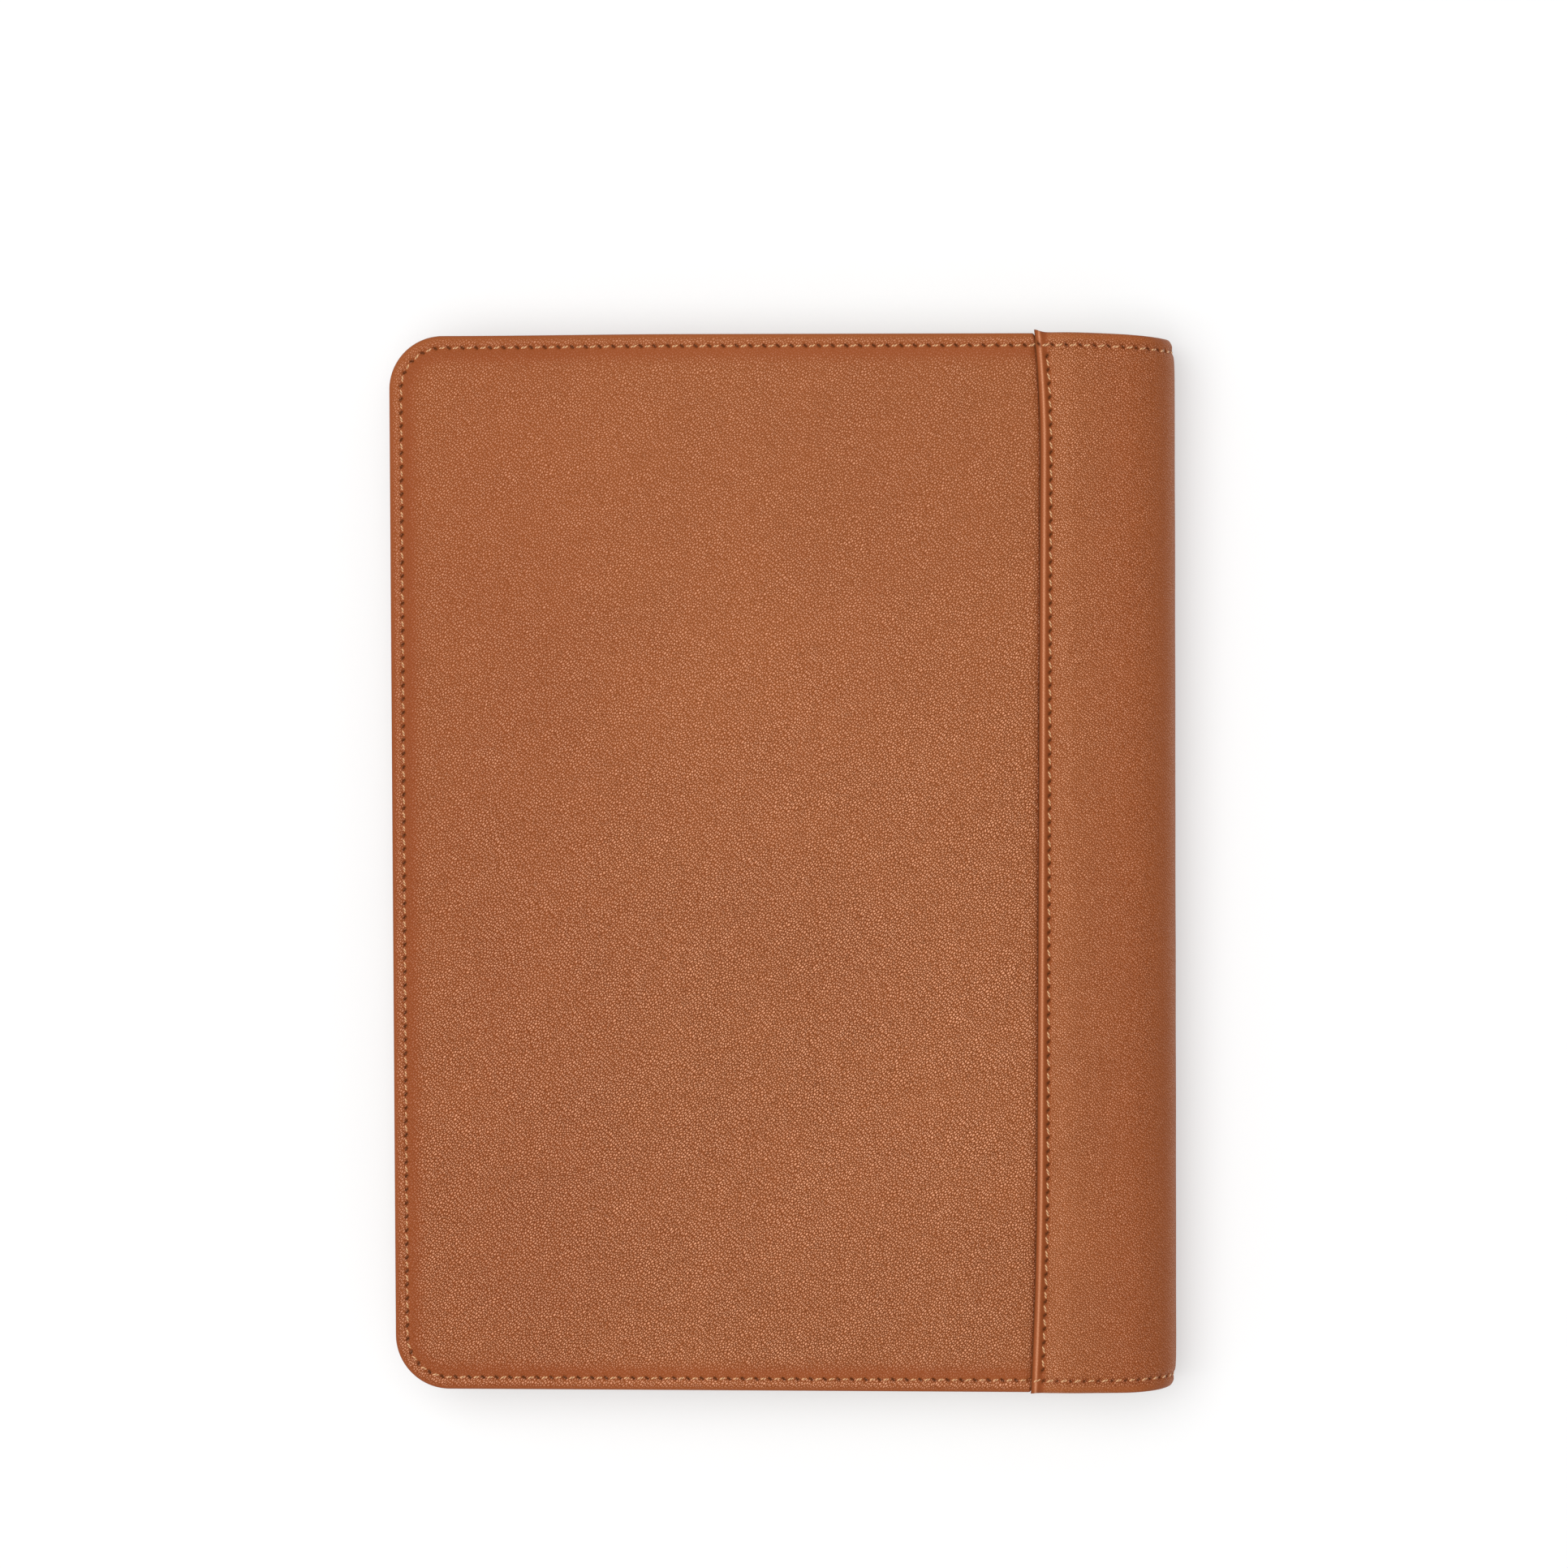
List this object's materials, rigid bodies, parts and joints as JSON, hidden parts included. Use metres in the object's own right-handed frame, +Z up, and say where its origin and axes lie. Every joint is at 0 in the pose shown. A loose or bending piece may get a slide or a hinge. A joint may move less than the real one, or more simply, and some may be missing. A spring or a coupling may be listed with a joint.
{
  "type": "leather notebook cover",
  "caption": "Closed padded leather notebook cover with a wrap-round spine, inner pockets and a page refill; both covers fold open flat about the spine.",
  "frame": {"origin": "on the resting plane, under the middle of the closed cover's box", "axes": "+X towards the spine, +Y towards the head, +Z up from the front cover to the back cover"},
  "size_m": [0.1665, 0.225, 0.0225],
  "materials": {
    "grained_leather": "pebble-grained, satin",
    "thread": "waxed polyester thread",
    "pocket_leather": "fine-grained, satin",
    "lining": "microfibre suede",
    "foam": "matt closed-cell foam",
    "board": "matt fibre board",
    "refill_card": "matt kraft card",
    "pages": "uncoated cream paper",
    "tape": "book cloth"
  },
  "bodies": {
    "front_cover": {"front_leather_panel": "grained_leather", "front_foam_padding": "foam", "front_board": "board", "front_lining": "lining", "front_spine_flap": "grained_leather", "front_edge_thread": "thread", "front_seam_thread": "thread", "front_slip_pocket": "pocket_leather", "card_slot_upper": "pocket_leather", "card_slot_middle": "pocket_leather", "card_slot_lower": "pocket_leather", "pocket_thread": "thread"},
    "spine": {"spine_leather": "grained_leather", "spine_reinforcement": "board", "spine_lining": "lining", "spine_head_thread": "thread", "spine_tail_thread": "thread"},
    "back_cover": {"back_leather_panel": "grained_leather", "back_foam_padding": "foam", "back_board": "board", "back_lining": "lining", "back_spine_flap": "grained_leather", "back_edge_thread": "thread", "back_seam_thread": "thread", "refill_pocket": "pocket_leather", "refill_pocket_thread": "thread", "refill_back_cover": "refill_card", "page_block": "pages", "refill_spine_tape": "tape"},
    "refill_front_cover": {"refill_front_cover": "refill_card"},
    "leaf_1": {"leaf_1": "pages"},
    "leaf_2": {"leaf_2": "pages"},
    "leaf_3": {"leaf_3": "pages"}
  },
  "joints": [
    {"name": "spine_fold", "type": "hinge", "parent": "front_cover", "child": "spine", "pos_m": [0.07995, 0, 0.0033], "axis": [0, 1, 0], "range_deg": [0, 90]},
    {"name": "back_cover_fold", "type": "hinge", "parent": "spine", "child": "back_cover", "pos_m": [0.07995, 0, 0.0192], "axis": [0, 1, 0], "range_deg": [0, 90]},
    {"name": "refill_front_cover_turn", "type": "hinge", "parent": "back_cover", "child": "refill_front_cover", "pos_m": [0.0752, 0, 0.0063], "axis": [0, -1, 0], "range_deg": [0, 36]},
    {"name": "leaf_1_turn", "type": "hinge", "parent": "back_cover", "child": "leaf_1", "pos_m": [0.0752, 0, 0.00683], "axis": [0, -1, 0], "range_deg": [0, 22.5]},
    {"name": "leaf_2_turn", "type": "hinge", "parent": "back_cover", "child": "leaf_2", "pos_m": [0.0752, 0, 0.00722], "axis": [0, -1, 0], "range_deg": [0, 13.5]},
    {"name": "leaf_3_turn", "type": "hinge", "parent": "back_cover", "child": "leaf_3", "pos_m": [0.0752, 0, 0.00762], "axis": [0, -1, 0], "range_deg": [0, 4.5]}
  ],
  "couplings": [
    {"joint": "refill_front_cover_turn", "follows": "back_cover_fold", "ratio": 0.4},
    {"joint": "leaf_1_turn", "follows": "back_cover_fold", "ratio": 0.25},
    {"joint": "leaf_2_turn", "follows": "back_cover_fold", "ratio": 0.15},
    {"joint": "leaf_3_turn", "follows": "back_cover_fold", "ratio": 0.05}
  ]
}
